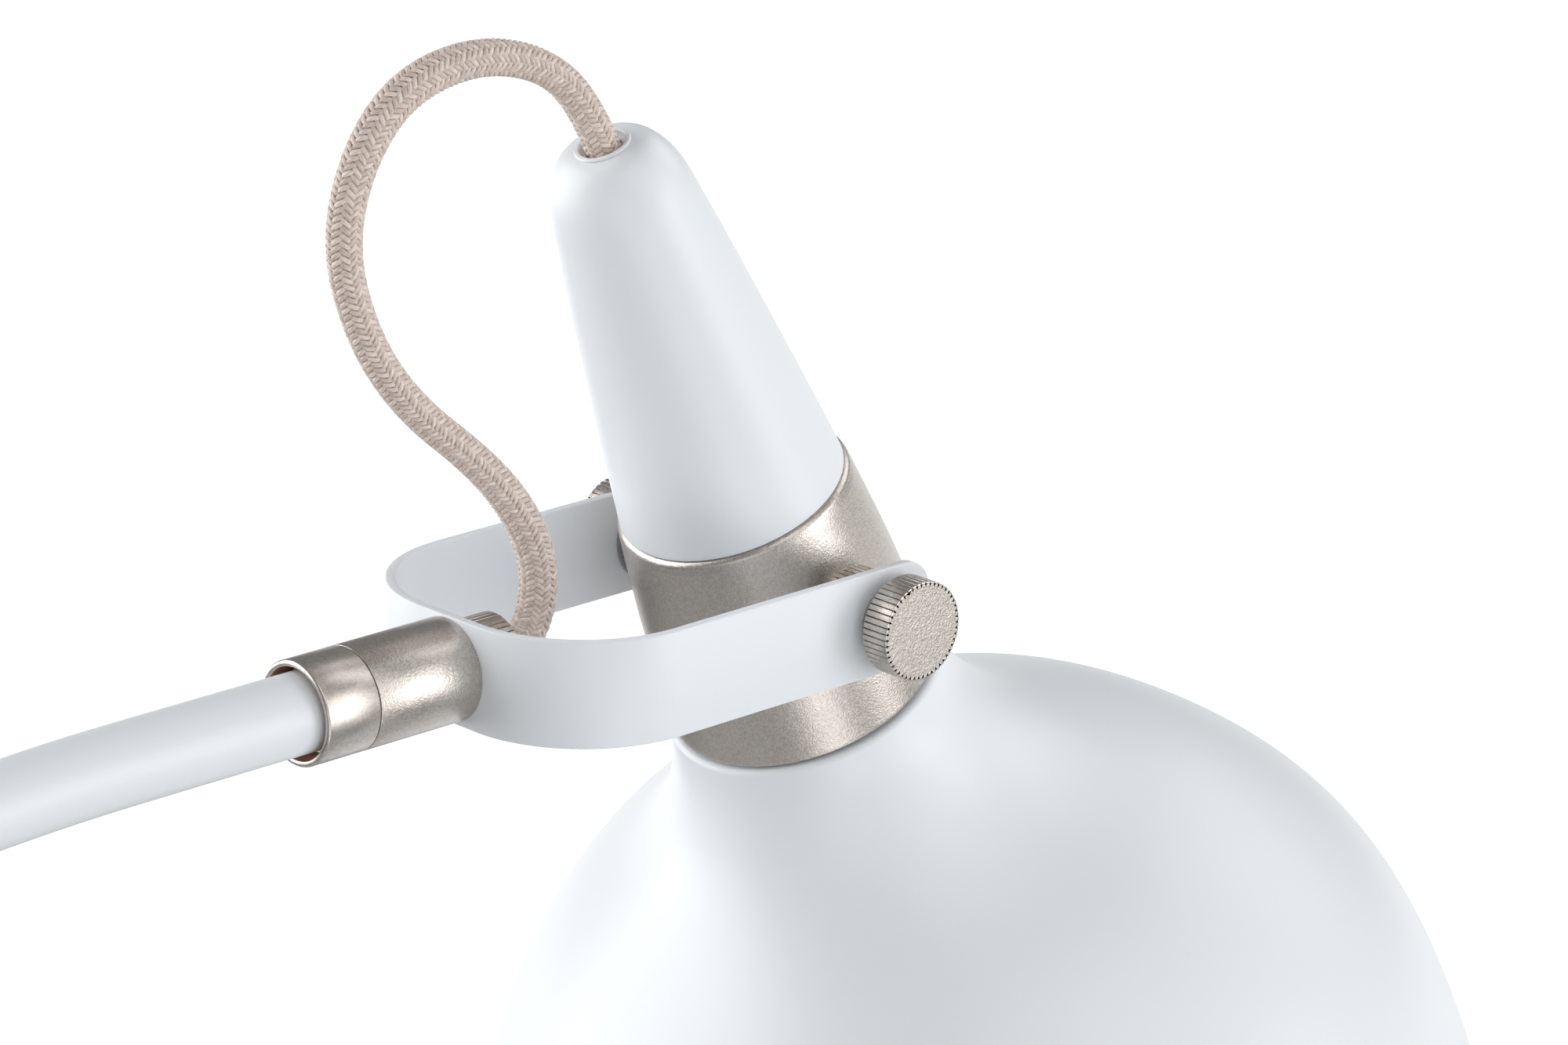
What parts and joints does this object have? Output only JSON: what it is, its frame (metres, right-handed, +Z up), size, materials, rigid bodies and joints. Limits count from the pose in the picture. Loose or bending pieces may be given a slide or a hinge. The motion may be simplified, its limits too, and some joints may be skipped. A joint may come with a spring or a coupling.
{
  "type": "arc floor lamp",
  "caption": "Arc floor lamp: round weighted base, curved tube arm, strap yoke with knurled tilt knobs and a bell shade on a tapered cap, fed by a loop of braided cord.",
  "frame": {"origin": "centre of the base's underside, on the floor, on the post's axis", "axes": "+Z up along the post; +X from the post towards the lamp head; +Y to the left seen from behind the post"},
  "size_m": [1.065, 0.28, 1.4732],
  "materials": {
    "white_coat_steel": "satin powder coat, cool white",
    "white_coat_aluminium": "satin powder coat, cool white",
    "champagne_metal": "fine bead-blasted champagne metal, satin",
    "plain_steel": "zinc-plated steel",
    "ballast_iron": "cast, painted dark grey",
    "pad_rubber": "matt",
    "white_plastic": "moulded, slightly translucent",
    "grey_plastic": "moulded, matt",
    "holder_plastic": "moulded, glossy",
    "holder_ceramic": "ceramic-like moulding",
    "contact_brass": "bright",
    "bulb_metal": "rolled screw shell",
    "bulb_glass": "opal",
    "cord_textile": "braided beige textile"
  },
  "bodies": {
    "base": {"base_cover": "white_coat_steel", "base_weight": "ballast_iron", "base_pad": "pad_rubber", "rod_nut": "plain_steel", "rod_washer": "plain_steel", "post_rod": "plain_steel", "post_socket": "champagne_metal", "inlet_gland": "pad_rubber", "post_tube": "white_coat_steel", "post_clamp": "champagne_metal", "lock_shoe": "grey_plastic", "base_lead": "cord_textile", "post_lead": "cord_textile"},
    "lock_screw": {"lock_knob": "champagne_metal", "lock_stud": "plain_steel"},
    "swivel_bush": {"post_bush": "white_plastic"},
    "arm": {"arm_tube": "white_coat_steel", "arm_guide": "grey_plastic", "ferrule_ring": "champagne_metal", "swivel_core": "plain_steel", "swivel_washer": "grey_plastic", "swivel_nut": "plain_steel", "arm_lead": "cord_textile"},
    "yoke": {"ferrule_sleeve": "champagne_metal", "yoke_nipple": "plain_steel", "yoke_strap": "white_coat_steel", "gland_nut": "champagne_metal", "yoke_lead": "cord_textile", "strap_washer_left": "plain_steel", "strap_washer_right": "plain_steel", "cord_loop": "cord_textile"},
    "head": {"collar": "champagne_metal", "head_cap": "white_coat_aluminium", "cap_grommet": "white_plastic", "shade": "white_coat_aluminium", "pivot_boss_left": "champagne_metal", "pivot_boss_right": "champagne_metal", "friction_disc_left": "grey_plastic", "friction_disc_right": "grey_plastic", "holder_bridge": "plain_steel", "holder_nipple": "plain_steel", "holder_nuts": "plain_steel", "cord_clamp": "white_plastic", "head_lead": "cord_textile", "holder_top": "holder_plastic", "holder_core": "holder_ceramic", "holder_skirt": "holder_plastic", "holder_contacts": "contact_brass", "shade_ring": "holder_plastic", "bulb_foot": "bulb_metal", "bulb_glass": "bulb_glass"},
    "tilt_screw_left": {"tilt_knob_left": "champagne_metal", "tilt_stud_left": "plain_steel"},
    "tilt_screw_right": {"tilt_knob_right": "champagne_metal", "tilt_stud_right": "plain_steel"}
  },
  "joints": [
    {"name": "arm_swivel", "type": "hinge", "parent": "base", "child": "swivel_bush", "pos_m": [0, 0, 0.66], "axis": [0, 0, 1], "range_deg": [-170, 170]},
    {"name": "mast_slide", "type": "slide", "parent": "swivel_bush", "child": "arm", "axis": [0, 0, 1], "range_m": [-0.085, 0.25], "deforming": ["post_lead"]},
    {"name": "lock_turn", "type": "hinge", "parent": "base", "child": "lock_screw", "pos_m": [-0.016, 0, 0.659], "axis": [-1, 0, 0], "range_deg": [0, 360]},
    {"name": "yoke_swivel", "type": "hinge", "parent": "arm", "child": "yoke", "pos_m": [0.6315, 0, 1.35], "axis": [1, 0, 0], "range_deg": [-90, 90]},
    {"name": "head_tilt", "type": "hinge", "parent": "yoke", "child": "head", "pos_m": [0.74, 0, 1.35], "axis": [0, 1, 0], "range_deg": [-30, 60], "deforming": ["cord_loop"]},
    {"name": "tilt_knob_turn_left", "type": "hinge", "parent": "head", "child": "tilt_screw_left", "pos_m": [0.74, 0.0363, 1.35], "axis": [0, 1, 0], "range_deg": [0, 360]},
    {"name": "tilt_knob_turn_right", "type": "hinge", "parent": "head", "child": "tilt_screw_right", "pos_m": [0.74, -0.0363, 1.35], "axis": [0, -1, 0], "range_deg": [0, 360]}
  ]
}
